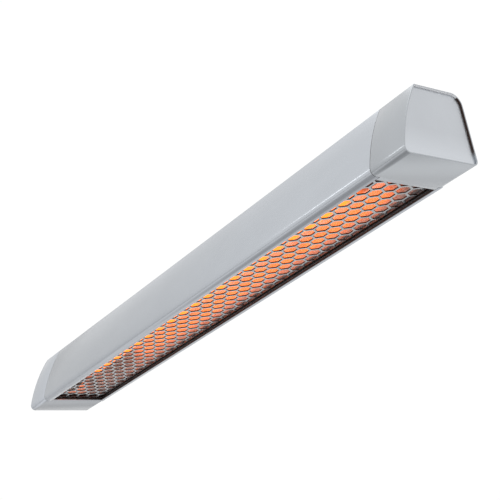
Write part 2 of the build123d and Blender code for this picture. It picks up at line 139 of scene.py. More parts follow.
def quarter(radius, steps):
    """A quarter round as (inset, advance) pairs, from (radius, 0) to (0, radius)."""
    turns = [math.pi / 2 * i / steps for i in range(steps + 1)]
    return [(radius * (1 - math.sin(a)), radius * (1 - math.cos(a))) for a in turns]


def front_circle():
    """Centre and radius of the bowed front face."""
    half = Vector((FRONT_TOP_Y - FRONT_FOOT_Y, HEIGHT)) / 2
    radius = (half.length ** 2 + FRONT_BOW ** 2) / (2 * FRONT_BOW)
    outwards = Vector((-half.y, half.x)).normalized()
    middle = Vector((FRONT_FOOT_Y, 0)) + half
    return middle - outwards * (radius - FRONT_BOW), radius


def rounded_corner(before, here, after, radius, inset):
    """The arc that rounds a polygon's corner, with the polygon moved inwards by inset."""
    here = Vector(here)
    into = (Vector(before) - here).normalized()
    onto = (Vector(after) - here).normalized()
    half = into.angle(onto) / 2
    inwards = (into + onto).normalized()
    here += inwards * inset / math.sin(half)
    r = max(radius - inset, LEAST_R)
    centre = here + inwards * r / math.sin(half)
    first = here + into * r / math.tan(half) - centre
    last = here + onto * r / math.tan(half) - centre
    start = math.atan2(first.y, first.x)
    turn = (math.atan2(last.y, last.x) - start + math.pi) % (2 * math.pi) - math.pi
    return arc(centre, r, start, start + turn, CORNER_STEPS)


def outline(inset=0.0, back_foot_r=BACK_FOOT_R):
    """The housing's outline in (y, z), moved inwards by inset, from the back foot over the top."""
    centre, radius = front_circle()
    radius -= inset
    foot_r = max(FOOT_R - inset, LEAST_R)
    top_r = max(TOP_R - inset, LEAST_R)

    def corner_centre(r, z):
        reach = math.sqrt((radius - r) ** 2 - (z - centre.y) ** 2)
        return Vector((centre.x - reach, z))

    def angle_of(corner):
        return math.atan2(corner.y - centre.y, corner.x - centre.x) % (2 * math.pi)

    foot = corner_centre(foot_r, inset + foot_r)
    top = corner_centre(top_r, HEIGHT - inset - top_r)
    up = math.pi / 2
    points = arc(foot, foot_r, 3 * up, angle_of(foot), CORNER_STEPS)
    points += arc(centre, radius, angle_of(foot), angle_of(top), FRONT_STEPS)[1:-1]
    points += arc(top, top_r, angle_of(top), up, CORNER_STEPS)
    back = [(0, HEIGHT), (BACK_Y, HEIGHT), (BACK_Y, 0), (0, 0)]
    for i, r in enumerate((BACK_TOP_R, back_foot_r)):
        points += rounded_corner(*back[i:i + 3], r, inset)
    points.reverse()
    return points


def cap_outline(inset=0.0):
    return outline(inset, CAP_BACK_FOOT_R)


def area(loop):
    pairs = zip(loop, loop[1:] + loop[:1])
    return sum(a[0] * b[1] - b[0] * a[1] for a, b in pairs) / 2


def shrink(loop, distance):
    """A closed loop moved inwards by distance."""
    sign = 1 if area(loop) > 0 else -1
    moved = []
    count = len(loop)
    for i in range(count):
        before, here, after = (Vector(loop[(i + k) % count]) for k in (-1, 0, 1))
        first = (here - before).normalized()
        second = (after - here).normalized()
        normal = Vector((-first.y - second.y, first.x + second.x)) * sign
        normal.normalize()
        cosine = max(LEAST_COSINE, normal.dot(Vector((-first.y, first.x)) * sign))
        moved.append(tuple(here + normal * distance / cosine))
    return moved


def place(axis):
    """How a section's (u, v) and its distance w along the axis become x, y, z."""
    return {
        "X": lambda u, v, w: Vector((w, u, v)),
        "Y": lambda u, v, w: Vector((u, w, v)),
        "Z": lambda u, v, w: Vector((u, v, w)),
    }[axis]


def ring(bm, loop, w, put):
    return [bm.verts.new(put(u, v, w)) for u, v in loop]


def skin(bm, rings):
    """Side faces between rings of equally many points."""
    for one, two in zip(rings, rings[1:]):
        count = len(one)
        for i in range(count):
            j = (i + 1) % count
            bm.faces.new((one[i], one[j], two[j], two[i]))


def lid(bm, rings):
    """A flat end face over an outer ring and any hole rings."""
    edges = []
    for verts in rings:
        for i in range(len(verts)):
            pair = (verts[i], verts[(i + 1) % len(verts)])
            edges.append(bm.edges.get(pair) or bm.edges.new(pair))
    bmesh.ops.triangle_fill(bm, use_beauty=True, use_dissolve=False, edges=edges)


def prism(bm, loops, start, end, bevel=0.0, axis="X"):
    """Loops (outer first, then holes) pulled along an axis, with rounded end edges."""
    put = place(axis)
    starts, ends = [], []
    for index, loop in enumerate(loops):
        into = 1 if index == 0 else -1
        rings = [(0, start), (0, end)]
        if bevel:
            rings = [(inset * into, start + step) for inset, step in quarter(bevel, 3)]
            rings += [(inset, end - (w - start)) for inset, w in reversed(rings)]
        built = [ring(bm, shrink(loop, i) if i else loop, w, put) for i, w in rings]
        skin(bm, built)
        starts.append(built[0])
        ends.append(built[-1])
    lid(bm, starts)
    lid(bm, ends)


def capped_loft(bm, stations):
    """Rings along X, closed at both ends: stations are (loop, x)."""
    built = [ring(bm, loop, x, place("X")) for loop, x in stations]
    skin(bm, built)
    lid(bm, [built[0]])
    lid(bm, [built[-1]])


def lathe(bm, profile, centre, axis="X", steps=48):
    """A closed (radius, w) profile turned about an axis. Two points at radius 0 are poles."""
    put = place(axis)
    rows = []
    for radius, w in profile:
        if radius < MERGE:
            rows.append([bm.verts.new(put(centre[0], centre[1], w))])
        else:
            rows.append(ring(bm, circle(centre, radius, steps), w, put))
    joined = list(zip(rows, rows[1:]))
    if profile[0][0] > MERGE:
        joined.append((rows[-1], rows[0]))
    for one, two in joined:
        for i in range(steps):
            j = (i + 1) % steps
            if len(one) == 1:
                bm.faces.new((one[0], two[j], two[i]))
            elif len(two) == 1:
                bm.faces.new((one[i], one[j], two[0]))
            else:
                bm.faces.new((one[i], one[j], two[j], two[i]))


def hex_loop(centre, across_flats, turn=0.0):
    """A hexagon with extra points along its sides."""
    corner_r = across_flats / math.sqrt(3)
    corners = arc(centre, corner_r, turn, turn + 2 * math.pi, 6)
    points = []
    for a, b in zip(corners, corners[1:]):
        for i in range(HEX_SIDE_STEPS):
            t = i / HEX_SIDE_STEPS
            points.append((a[0] + (b[0] - a[0]) * t, a[1] + (b[1] - a[1]) * t))
    return points


def hex_nut(bm, centre, across_flats, hole_r, start, end, axis="X", turn=0.0):
    """A hexagon with its corners turned off at both ends, round a hole."""
    put = place(axis)
    outer = hex_loop(centre, across_flats, turn)
    flat_r = across_flats / 2 * 0.97
    slope = math.tan(math.radians(30))
    way = 1 if end > start else -1
    lead_in = 0.3 * MM

    def edge_ring(w, inwards):
        verts = []
        for u, v in outer:
            reach = math.hypot(u - centre[0], v - centre[1])
            verts.append(bm.verts.new(put(u, v, w + inwards * max(0, reach - flat_r) * slope)))
        return verts

    def round_ring(radius, w):
        return ring(bm, circle(centre, radius, len(outer), turn), w, put)

    first, last = round_ring(flat_r, start), round_ring(flat_r, end)
    low, high = edge_ring(start, way), edge_ring(end, -way)
    hole = [
        round_ring(r, w)
        for r, w in ((hole_r + lead_in, end), (hole_r, end - way * lead_in),
                     (hole_r, start + way * lead_in), (hole_r + lead_in, start))
    ]
    skin(bm, [hole[-1], first, low, high, last] + hole)


def add_object(name, data):
    obj = bpy.data.objects.new(name, data)
    bpy.context.scene.collection.objects.link(obj)
    return obj


def smooth(mesh, sharp):
    mesh.shade_smooth()
    mesh.set_sharp_from_angle(angle=math.radians(sharp))


def finish_mesh(name, bm, sharp=SHARP_DEGREES):
    """The mesh as an object, closed, smooth-shaded and with its real edges kept sharp."""
    bmesh.ops.remove_doubles(bm, verts=bm.verts, dist=MERGE)
    bmesh.ops.recalc_face_normals(bm, faces=bm.faces)
    mesh = bpy.data.meshes.new(name)
    bm.to_mesh(mesh)
    bm.free()
    smooth(mesh, sharp)
    return add_object(name, mesh)


def made(name, build, *sizes, sharp=SHARP_DEGREES, **options):
    """An object from one shape: build is prism, lathe, capped_loft or rounded_box."""
    bm = bmesh.new()
    build(bm, *sizes, **options)
    return finish_mesh(name, bm, sharp)


def settle(obj):
    """Applies an object's modifiers."""
    bpy.context.view_layer.update()
    depsgraph = bpy.context.evaluated_depsgraph_get()
    mesh = bpy.data.meshes.new_from_object(obj.evaluated_get(depsgraph))
    obj.modifiers.clear()
    obj.data = mesh
    return obj


def apply_boolean(obj, tool, operation):
    """obj joined with or cut by tool, and tool removed."""
    modifier = obj.modifiers.new("boolean", "BOOLEAN")
    modifier.operation = operation
    modifier.solver = "EXACT"
    modifier.object = tool
    settle(obj)
    bpy.data.objects.remove(tool)
    smooth(obj.data, SHARP_DEGREES)


def rounded_box(bm, low, high, radius, steps=3):
    """A box with all its edges rounded."""
    cube = bmesh.ops.create_cube(bm, size=1.0)["verts"]
    for vert in cube:
        for axis in range(3):
            vert.co[axis] = (low[axis], high[axis])[vert.co[axis] > 0]
    edges = list({edge for vert in cube for edge in vert.link_edges})
    bmesh.ops.bevel(bm, geom=edges, offset=radius, segments=steps, affect="EDGES", profile=0.5)


def copied(obj, name, matrix):
    """A copy of a piece, with its mesh moved by a matrix."""
    mesh = obj.data.copy()
    mesh.name = name
    mesh.transform(matrix)
    return add_object(name, mesh)


# ---- material helpers
class Nodes:
    """Shader nodes under construction: a new material's, unless another kind of owner is named."""

    def __init__(self, name, kind=bpy.data.materials, shader="Principled BSDF", coords="Object"):
        self.owner = kind.new(name)
        self.owner.use_nodes = True
        self.tree = self.owner.node_tree
        self.shader = self.tree.nodes[shader]
        self.coords = self.add("ShaderNodeTexCoord").outputs[coords]

    def add(self, kind, **settings):
        node = self.tree.nodes.new(kind)
        for key, value in settings.items():
            setattr(node, key, value)
        return node

    def link(self, source, target):
        self.tree.links.new(source, target)

    def fill(self, slot, value):
        """Puts a number, a colour or another node's output into a slot."""
        if isinstance(value, tuple):
            slot.default_value = (*value, 1.0)
        elif isinstance(value, (int, float)):
            slot.default_value = value
        else:
            self.link(value, slot)

    def set(self, **values):
        for key, value in values.items():
            self.fill(self.shader.inputs[key.replace("_", " ")], value)

    def stretch(self, scale):
        """The coordinates scaled per axis, in features per metre."""
        mapping = self.add("ShaderNodeMapping")
        mapping.inputs["Scale"].default_value = scale
        self.link(self.coords, mapping.inputs["Vector"])
        return mapping.outputs["Vector"]

    def texture(self, kind, scale, output, inputs, **settings):
        """A texture with so many features per metre along each axis."""
        node = self.add(kind, **settings)
        for key, value in {"Scale": 1.0, **inputs}.items():
            node.inputs[key].default_value = value
        self.link(self.stretch(scale), node.inputs["Vector"])
        return node.outputs[output]

    def noise(self, scale, detail=3.0, roughness=0.55):
        return self.texture("ShaderNodeTexNoise", scale, "Fac",
                            {"Detail": detail, "Roughness": roughness})

    def band(self, value, low, high, out_low=0.0, out_high=1.0):
        """A value carried from one range to another, held at the ends."""
        node = self.add("ShaderNodeMapRange")
        for key, number in zip(("From Min", "From Max", "To Min", "To Max"),
                               (low, high, out_low, out_high)):
            node.inputs[key].default_value = number
        self.link(value, node.inputs["Value"])
        return node.outputs["Result"]

    def fall(self, value, low, high):
        """1 up to low, fading to 0 at high."""
        return self.band(value, low, high, 1.0, 0.0)

    def within(self, value, low, high, soft):
        """1 where a value lies between low and high, with soft edges."""
        return self.all_of(self.band(value, low, low + soft), self.fall(value, high - soft, high))

    def math(self, operation, *values):
        """An operation applied to the values from left to right."""
        result = values[0]
        for value in values[1:]:
            node = self.add("ShaderNodeMath", operation=operation)
            self.fill(node.inputs[0], result)
            self.fill(node.inputs[1], value)
            result = node.outputs["Value"]
        return result

    def all_of(self, *masks):
        return self.math("MULTIPLY", *masks)

    def any_of(self, *masks):
        return self.math("MAXIMUM", *masks)

    def opposite(self, mask):
        return self.math("SUBTRACT", 1.0, mask)

    def either_way(self, value):
        """A value without its sign."""
        return self.math("ABSOLUTE", value, 0.0)

    def mix(self, factor, one, two):
        """Two colours mixed by a factor."""
        node = self.add("ShaderNodeMix", data_type="RGBA")
        for key, value in (("Factor", factor), ("A", one), ("B", two)):
            self.fill(node.inputs[key], value)
        return node.outputs["Result"]

    def split(self, vector, letter):
        node = self.add("ShaderNodeSeparateXYZ")
        self.link(vector, node.inputs["Vector"])
        return node.outputs[letter]

    def axis(self, letter):
        return self.split(self.coords, letter)

    def facing(self, letter):
        """How far the surface itself faces along an axis, from -1 to 1."""
        return self.split(self.add("ShaderNodeNewGeometry").outputs["True Normal"], letter)

    def bump(self, height, depth, strength):
        node = self.add("ShaderNodeBump")
        node.inputs["Distance"].default_value = depth
        node.inputs["Strength"].default_value = strength
        self.link(height, node.inputs["Height"])
        self.link(node.outputs["Normal"], self.shader.inputs["Normal"])


# ---- materials
# The dark tone of painted shade and the pale tone of painted light.
PAINTED_SHADE_TONE = (0.045, 0.024, 0.018)
PAINTED_LIGHT_TONE = (0.92, 0.93, 0.95)


def satin_metal(name, colour, roughness, grain, depth, patch=0.05, painted_shade=None, tint=None,
                painted_light=None):
    """Satin metal: grain sets the features per metre of its fine lines or pores.
    The shade mask gives the places where shade is painted dark, tint paints light and shade by
    changing the tone from place to place, and the light mask gives places painted pale as light."""
    m = Nodes(name)
    fine = m.noise(grain, detail=4.0)
    broad = m.noise((14, 30, 30), detail=2.0)
    smudges = m.noise((45, 60, 60), detail=5.0, roughness=0.7)
    darker = tuple(c * (1 - patch * 1.6) for c in colour)
    lighter = tuple(min(1.0, c * (1 + patch)) for c in colour)
    in_grain = tuple(c * 0.93 for c in colour)
    tone = m.mix(m.band(broad, 0.3, 0.7), darker, lighter)
    tone = m.mix(m.band(fine, 0.35, 0.75, 0.0, 0.5), tone, in_grain)
    if tint:
        tone = tint(m, tone)
    rough = m.math("ADD", m.band(fine, 0.3, 0.7, roughness - 0.02, roughness + 0.02),
                   m.band(smudges, 0.35, 0.75, -0.01, 0.02))
    metallic = 1.0
    # Painted shade makes its places dark and dull; painted light makes its places pale and matte.
    for places, tone_there, dullness, metal_left in ((painted_shade, PAINTED_SHADE_TONE, 0.75, 0.1),
                                                     (painted_light, PAINTED_LIGHT_TONE, 0.6, 0.0)):
        if places:
            mask = places(m)
            tone = m.mix(mask, tone, tone_there)
            rough = m.any_of(rough, m.all_of(mask, dullness))
            metallic = m.all_of(m.band(mask, 0.0, 1.0, 1.0, metal_left), metallic)
    m.set(Base_Color=tone, Metallic=metallic, Roughness=rough)
    m.bump(fine, depth, 0.15)
    return m.owner


def away_from_foot(m):
    """Everywhere but round the rear foot, where the seam is left without painted shade."""
    return m.opposite(m.all_of(m.band(m.axis("Y"), 35.5 * MM, 36 * MM),
                               m.fall(m.axis("Z"), 5 * MM, 6 * MM)))


def housing_painted_shade(m):
    """Painted shade: the extrusion's inside near the guard, and its cut ends in the seams, with less
    of it on the rear rib's tip face.
    """
    y, z = m.axis("Y"), m.axis("Z")
    soft = 0.15 * MM
    height = m.within(z, 0.2 * MM, 11 * MM, soft)
    lips = m.all_of(height, m.within(y, -34.6 * MM, 35.8 * MM, soft))
    ribs = m.all_of(m.band(z, 1.7 * MM, 1.8 * MM), height,
                    m.within(y, -38.3 * MM, 39.3 * MM, soft))
    rib_tip = m.all_of(m.fall(m.facing("Y"), -0.9, -0.7),
                       m.within(y, 35.3 * MM, 35.9 * MM, 0.1 * MM),
                       m.band(z, 5.5 * MM, 5.7 * MM), 0.35)
    inside = m.all_of(m.any_of(lips, ribs), m.opposite(rib_tip))
    ends = m.all_of(m.band(m.either_way(m.facing("X")), 0.6, 0.9), away_from_foot(m))
    return m.any_of(inside, ends)


def cap_painted_shade(m):
    """Painted shade: the cap's face in the seam, the rim's inner wall at the back and the tongue's
    edges.
    """
    x = m.either_way(m.axis("X"))
    y, z = m.axis("Y"), m.axis("Z")
    seam = m.all_of(m.band(m.either_way(m.facing("X")), 0.6, 0.9),
                    m.fall(x, SEAM_X + 0.1 * MM, SEAM_X + 0.2 * MM),
                    m.band(z, 1.0 * MM, 1.2 * MM), away_from_foot(m))
    rim = m.all_of(m.fall(m.facing("Y"), -0.6, -0.3), m.band(y, 20 * MM, 24 * MM),
                   m.band(z, 9 * MM, 14 * MM),
                   m.band(x, HALF_LENGTH - 6 * MM, HALF_LENGTH - 5 * MM))
    tongue = m.all_of(m.band(m.either_way(m.facing("Y")), 0.6, 0.9),
                      m.fall(x, SEAM_X, SEAM_X + 0.1 * MM))
    return m.any_of(seam, rim, tongue)


def cap_painted_light_and_shade(m, tone):
    """Painted light and shade: the far cap is painted lighter, and the caps' undersides lighter at
    the near end and darker at the far end.
    """
    near = m.band(m.axis("X"), -0.05, 0.05)
    below = m.fall(m.facing("Z"), -0.95, -0.8)
    tone = m.mix(near, (0.560, 0.590, 0.634), tone)
    return m.mix(below, tone, m.mix(near, (0.410, 0.428, 0.450), (0.495, 0.520, 0.545)))


def top_rim_wall_painted_light(m):
    """Painted light: the rim's inner wall under the top, made pale and matte against the shade in
    the recess.
    """
    return m.all_of(m.fall(m.facing("Z"), -0.8, -0.5),
                    m.band(m.axis("Z"), HEIGHT - 4 * MM, HEIGHT - 3 * MM))


def plate_painted_light(m, tone):
    """Painted light: the plate is a little brighter towards its foot."""
    return m.mix(m.fall(m.axis("Z"), 6 * MM, 27 * MM), tone, (0.600, 0.625, 0.660))


def housing_metal():
    return satin_metal("satin_anodised_extrusion", (0.515, 0.541, 0.577), 0.24,
                       (90, 5200, 5200), 0.01 * MM, patch=0.02, painted_shade=housing_painted_shade)


def cap_metal():
    return satin_metal("satin_cast_cap", (0.436, 0.458, 0.482), 0.23,
                       (3800, 3800, 3800), 0.003 * MM, patch=0.015, painted_shade=cap_painted_shade,
                       tint=cap_painted_light_and_shade, painted_light=top_rim_wall_painted_light)


def plate_metal():
    return satin_metal("satin_end_plate", (0.532, 0.554, 0.585), 0.3,
                       (3000, 3400, 260), 0.01 * MM, patch=0.015, tint=plate_painted_light)


def guard_metal():
    """Stainless guard: satin, straw-tinted by heat over the element, its holes' walls painted dark
    as shade.
    """
    m = Nodes("heat_tinted_guard")
    fine = m.noise((4200, 900, 4200), detail=4.0)
    over_element = m.fall(m.either_way(m.axis("Y")), 0.0, 0.03)
    blotch = m.band(m.noise((60, 90, 90), detail=4.0), 0.35, 0.7)
    # Painted shade on the holes' walls.
    shaded_hole_walls = m.fall(m.either_way(m.facing("Z")), 0.3, 0.55)
    steel = m.mix(m.band(fine, 0.3, 0.7), (0.53, 0.545, 0.56), (0.62, 0.635, 0.65))
    tone = m.mix(m.all_of(over_element, blotch, 0.25), steel, (0.60, 0.52, 0.38))
    tone = m.mix(shaded_hole_walls, tone, (0.055, 0.022, 0.016))
    m.set(Base_Color=tone, Metallic=m.band(shaded_hole_walls, 0.0, 1.0, 0.9, 0.3),
          Roughness=m.band(fine, 0.3, 0.7, 0.36, 0.46))
    m.bump(fine, 0.008 * MM, 0.4)
    return m.owner


def reflector_metal():
    """Rolled aluminium, dulled by heat: rolling lines along X, slight waves, haze, a darker and
    duller lower wall at the back, and painted shade on the flanges' edges."""
    m = Nodes("heat_dulled_reflector")
    y, z = m.axis("Y"), m.axis("Z")
    lines = m.noise((70, 3600, 3600), detail=3.0)
    waves = m.noise((22, 60, 60), detail=2.0)
    haze = m.noise((40, 90, 90), detail=4.0, roughness=0.65)
    streaks = m.band(m.noise((18, 400, 400), detail=3.0), 0.35, 0.7)
    # A darker, duller patch on the lower wall at the back.
    duller_lower_wall = m.all_of(m.band(y, 14 * MM, 18 * MM), m.fall(z, 11 * MM, 17 * MM))
    across = m.either_way(m.math("SUBTRACT", y, REFLECTOR_Y))
    # Painted shade: the flanges' edges under the lips are darkened.
    flange = m.all_of(m.band(across, REFLECTOR_HALF_WIDTH - 0.3 * MM, REFLECTOR_HALF_WIDTH),
                      m.fall(z, 9.2 * MM, 9.6 * MM))
    tone = m.mix(m.band(haze, 0.4, 0.75), (0.87, 0.87, 0.86), (0.80, 0.76, 0.73))
    tone = m.mix(duller_lower_wall, tone, m.mix(streaks, (0.62, 0.58, 0.57), (0.80, 0.76, 0.74)))
    tone = m.mix(flange, tone, (0.42, 0.35, 0.33))
    rough = m.math("ADD", m.band(lines, 0.3, 0.7, 0.17, 0.24), m.band(haze, 0.4, 0.8, 0.0, 0.06),
                   m.all_of(duller_lower_wall, 0.2))
    rough = m.any_of(rough, m.all_of(flange, 0.7))
    metallic = m.math("MINIMUM", m.band(duller_lower_wall, 0.0, 1.0, 0.66, 0.22),
                      m.band(flange, 0.0, 1.0, 1.0, 0.3))
    m.set(Base_Color=tone, Metallic=metallic, Roughness=rough)
    m.bump(m.math("ADD", m.all_of(lines, 0.02), waves), 0.25 * MM, 0.25)
    return m.owner


def glowing_sheath():
    """Oxidised sheath, red to yellow hot between its cold ends."""
    m = Nodes("glowing_element_sheath")
    along = m.axis("X")
    fade = 0.024
    mottle = m.noise((160, 260, 260), detail=4.0)
    scale = m.noise((900, 900, 900), detail=3.0)
    heat = m.all_of(m.band(along, HOT_START_X - fade, HOT_START_X + fade),
                    m.fall(along, HOT_END_X - fade, HOT_END_X + fade),
                    m.band(mottle, 0.3, 0.8, 1.0, 0.86))
    glow = m.add("ShaderNodeValToRGB")
    ramp = glow.color_ramp.elements
    ramp[0].color = (0.30, 0.02, 0.002, 1)
    ramp[1].color = (1.0, 0.17, 0.004, 1)
    ramp.new(0.55).color = (0.95, 0.14, 0.004, 1)
    m.link(heat, glow.inputs["Fac"])
    m.set(Base_Color=m.mix(mottle, (0.16, 0.12, 0.10), (0.30, 0.24, 0.20)), Metallic=0.3,
          Roughness=0.6, Emission_Color=glow.outputs["Color"],
          Emission_Strength=m.all_of(m.math("POWER", heat, 2.0), 3.1))
    m.bump(scale, 0.05 * MM, 0.4)
    return m.owner


def ceramic():
    m = Nodes("unglazed_steatite")
    grain = m.noise((1500, 1500, 1500), detail=4.0)
    m.set(Base_Color=m.mix(grain, (0.80, 0.76, 0.68), (0.88, 0.85, 0.78)),
          Roughness=m.band(grain, 0.3, 0.7, 0.55, 0.7))
    m.bump(grain, 0.03 * MM, 0.5)
    return m.owner


def moulded(name, colour, roughness, grain_scale=2400, depth=0.02):
    """Moulded plastic or rubber with a fine spark-eroded grain."""
    m = Nodes(name)
    grain = m.texture("ShaderNodeTexVoronoi", (grain_scale,) * 3, "Distance", {})
    wear = m.noise((220, 220, 220), detail=5.0, roughness=0.7)
    lighter = tuple(min(1.0, c * 1.25 + 0.012) for c in colour)
    m.set(Base_Color=m.mix(m.band(wear, 0.45, 0.8), colour, lighter),
          Roughness=m.band(wear, 0.3, 0.8, roughness - 0.05, roughness + 0.1))
    m.bump(grain, depth * MM, 0.5)
    return m.owner


def plated_steel():
    return satin_metal("bright_zinc_plate", (0.66, 0.675, 0.70), 0.24, (1600, 1600, 1600),
                       0.01 * MM, patch=0.08)


def bracket_metal():
    return satin_metal("brushed_stainless_bracket", (0.60, 0.605, 0.615), 0.32,
                       (120, 4200, 4200), 0.012 * MM, patch=0.04)


def brass():
    return satin_metal("plain_brass", (0.75, 0.55, 0.26), 0.28, (1800, 1800, 1800), 0.01 * MM,
                       patch=0.08)


def braided(name, one, two):
    """A braided sleeve: crossing threads of two tones."""
    m = Nodes(name)
    threads = m.texture("ShaderNodeTexWave", (900, 900, 900), "Fac", {"Distortion": 1.5},
                        wave_type="BANDS", bands_direction="DIAGONAL")
    m.set(Base_Color=m.mix(threads, one, two), Roughness=m.band(threads, 0, 1, 0.75, 0.6))
    m.bump(threads, 0.08 * MM, 0.6)
    return m.owner


SLOT_MATERIAL = {
    "housing_alu": housing_metal(),
    "cap_alu": cap_metal(),
    "plate_alu": plate_metal(),
    "guard_steel": guard_metal(),
    "reflector_alu": reflector_metal(),
    "bracket_steel": bracket_metal(),
    "zinc_steel": plated_steel(),
    "brass": brass(),
    "element_sheath": glowing_sheath(),
    "ceramic": ceramic(),
    "gland_plastic": moulded("black_nylon", (0.022, 0.022, 0.024), 0.42),
    "washer_plastic": moulded("natural_nylon", (0.74, 0.72, 0.66), 0.45),
    "cutout_case": moulded("phenolic", (0.035, 0.022, 0.016), 0.35, 1200),
    "silicone": moulded("red_silicone", (0.42, 0.07, 0.05), 0.5, 1500),
    "seal_rubber": moulded("seal_rubber", (0.03, 0.03, 0.03), 0.6, 1500, 0.04),
    "lead_sleeve": braided("glass_braid", (0.66, 0.64, 0.58), (0.80, 0.78, 0.72)),
    "earth_sleeve": braided("earth_sleeve_weave", (0.10, 0.32, 0.05), (0.78, 0.66, 0.06)),
}
NODE_SLOT = {part["node"]: part["material_slot"] for part in frame["record"]["subparts"]}
NODE_BODY = {
    node: body for body, nodes in frame["record"]["behaviour"]["bodies"].items() for node in nodes
}


def dress(obj, *nodes):
    """Gives a detailed piece its slot's material and its body, in place of the CAD nodes named."""
    slot = NODE_SLOT[nodes[0]]
    obj.data.materials.clear()
    obj.data.materials.append(SLOT_MATERIAL[slot])
    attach(obj, NODE_BODY[nodes[0]])
    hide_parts(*nodes)
    return obj


def dress_both(piece, far_name, kind):
    """Dresses a near piece and its mirrored twin at the far end."""
    far = copied(piece, far_name, Matrix.Scale(-1, 4, Vector((1, 0, 0))))
    far.data.flip_normals()
    dress(piece, "near_" + kind)
    dress(far, "far_" + kind)


# ---- stage, light and camera
def make_world():
    """A white studio, dimmer towards the floor and towards the far end of its front."""
    m = Nodes("studio", bpy.data.worlds, "Background", "Generated")
    bpy.context.scene.world = m.owner
    ramp = m.add("ShaderNodeValToRGB")
    stops = ramp.color_ramp.elements
    stops[0].position, stops[0].color = 0.22, (0.42, 0.42, 0.43, 1)
    stops[1].position, stops[1].color = 0.47, (1.0, 1.0, 1.0, 1)
    m.link(m.band(m.axis("Z"), -1.0, 1.0), ramp.inputs["Fac"])
    dim = m.all_of(m.band(m.axis("X"), -0.58, -0.90), m.band(m.axis("Y"), 0.28, 0.08))
    m.set(Color=ramp.outputs["Color"], Strength=m.band(dim, 0.0, 1.0, 1.02, 0.79))


FLOOR_Z = -1.35
FLOOR_RADIUS = 7.0


def make_floor():
    """A pale round floor far below the hanging heater, with a painted shadow under it and painted
    rings of light and shade further out.
    """
    bm = bmesh.new()
    bmesh.ops.create_circle(bm, cap_ends=True, radius=FLOOR_RADIUS, segments=96,
                            matrix=Matrix.Translation((0, 0, FLOOR_Z)))
    floor = finish_mesh("floor", bm)
    m = Nodes("pale_floor")
    length = m.add("ShaderNodeVectorMath", operation="LENGTH")
    m.link(m.coords, length.inputs[0])
    distance = length.outputs["Value"]
    paper = m.noise((30, 30, 30), detail=3.0)
    # Painted shadow under the heater, then painted lighter and darker rings.
    tone = (0.44, 0.44, 0.445)
    for start, end, colour in ((1.7, 2.7, (0.94, 0.94, 0.945)), (3.2, 5.0, (0.54, 0.54, 0.545)),
                               (5.5, FLOOR_RADIUS, (0.86, 0.86, 0.865))):
        tone = m.mix(m.band(distance, start, end), tone, colour)
    m.set(Base_Color=tone, Roughness=m.band(paper, 0.3, 0.7, 0.75, 0.85))
    m.bump(paper, 0.1 * MM, 0.2)
    floor.data.materials.append(m.owner)


def make_light(name, place_at, aim, size, power):
    data = bpy.data.lights.new(name, "AREA")
    data.shape = "RECTANGLE"
    data.size, data.size_y = size
    data.energy = power
    lamp = add_object(name, data)
    lamp.location = place_at
    lamp.rotation_mode = "QUATERNION"
    lamp.rotation_quaternion = (Vector(aim) - Vector(place_at)).to_track_quat("-Z", "Y")
    lamp.visible_camera = False


def make_lights():
    make_light("front_strip", (-0.42, -0.96, 0.76), (-0.42, 0, 0.03), (0.4, 0.12), 0.38)
    make_light("overhead", (0.3, 0.2, 2.0), (0, 0, 0), (2.0, 2.0), 12)


CAMERA_PLACE = Vector((0.84525, -0.59475, -0.34514))
CAMERA_LOOK = Vector((-0.73065, 0.5754, 0.36752))
CAMERA_UP = Vector((0.39198, -0.08723, 0.91583))
CAMERA_LENS = 75.52


def make_camera():
    """Below the near end, looking up along the guard, tilted as the picture is."""
    data = bpy.data.cameras.new("camera")
    data.lens = CAMERA_LENS
    data.sensor_width = 36.0
    data.clip_start = 0.01
    data.clip_end = 100.0
    camera = add_object("camera", data)
    back = -CAMERA_LOOK.normalized()
    right = CAMERA_UP.cross(back).normalized()
    turn = Matrix((right, back.cross(right), back)).transposed().to_4x4()
    camera.matrix_world = Matrix.Translation(CAMERA_PLACE) @ turn
    bpy.context.scene.camera = camera


make_camera()
make_world()
make_floor()
make_lights()
bpy.context.scene.view_settings.view_transform = "Standard"


# ---- housing
def inner_y(height, side):
    """Inner face of the front (-1) or rear (1) wall at a height, along the inner outline."""
    wall = [p for p in outline(WALL) if p[0] * side > 0]
    for one, two in zip(wall, wall[1:]):
        if min(one[1], two[1]) <= height <= max(one[1], two[1]):
            t = (height - one[1]) / (two[1] - one[1])
            return one[0] + (two[0] - one[0]) * t
    raise ValueError("no wall at this height")


def housing_loop():
    """The extrusion's section: outside from the back foot, over the top to the front foot,
    round the front lip, back along the inside with its ribs, and round the rear lip."""
    inner = outline(WALL)
    upper_rib, lower_rib = (8.2 * MM, 5.8 * MM), (4.1 * MM, 2.7 * MM)
    high, low = upper_rib
    rear_rib = [(inner_y(low, 1), low), (REAR_RIB_Y, low), (REAR_RIB_Y, high),
                (inner_y(high, 1), high)]
    front_ribs = []
    for top, bottom in (upper_rib, lower_rib):
        front_ribs += [(inner_y(top, -1), top), (FRONT_RIB_Y, top), (FRONT_RIB_Y, bottom),
                       (inner_y(bottom, -1), bottom)]
    inside = [p for p in inner if p[0] > 0 and p[1] < low] + rear_rib
    inside += [p for p in inner if p[1] > high] + front_ribs
    inside += [p for p in inner if p[0] < 0 and p[1] < lower_rib[1]]
    edge = 0.35 * MM
    loop = outline()
    loop += [(FRONT_LIP_Y - edge, 0), (FRONT_LIP_Y, edge), (FRONT_LIP_Y, WALL)]
    loop += inside[::-1]
    loop += [(REAR_LIP_Y, WALL), (REAR_LIP_Y, edge), (REAR_LIP_Y + edge, 0)]
    return [p for i, p in enumerate(loop) if math.dist(p, loop[i - 1]) > 1e-5]


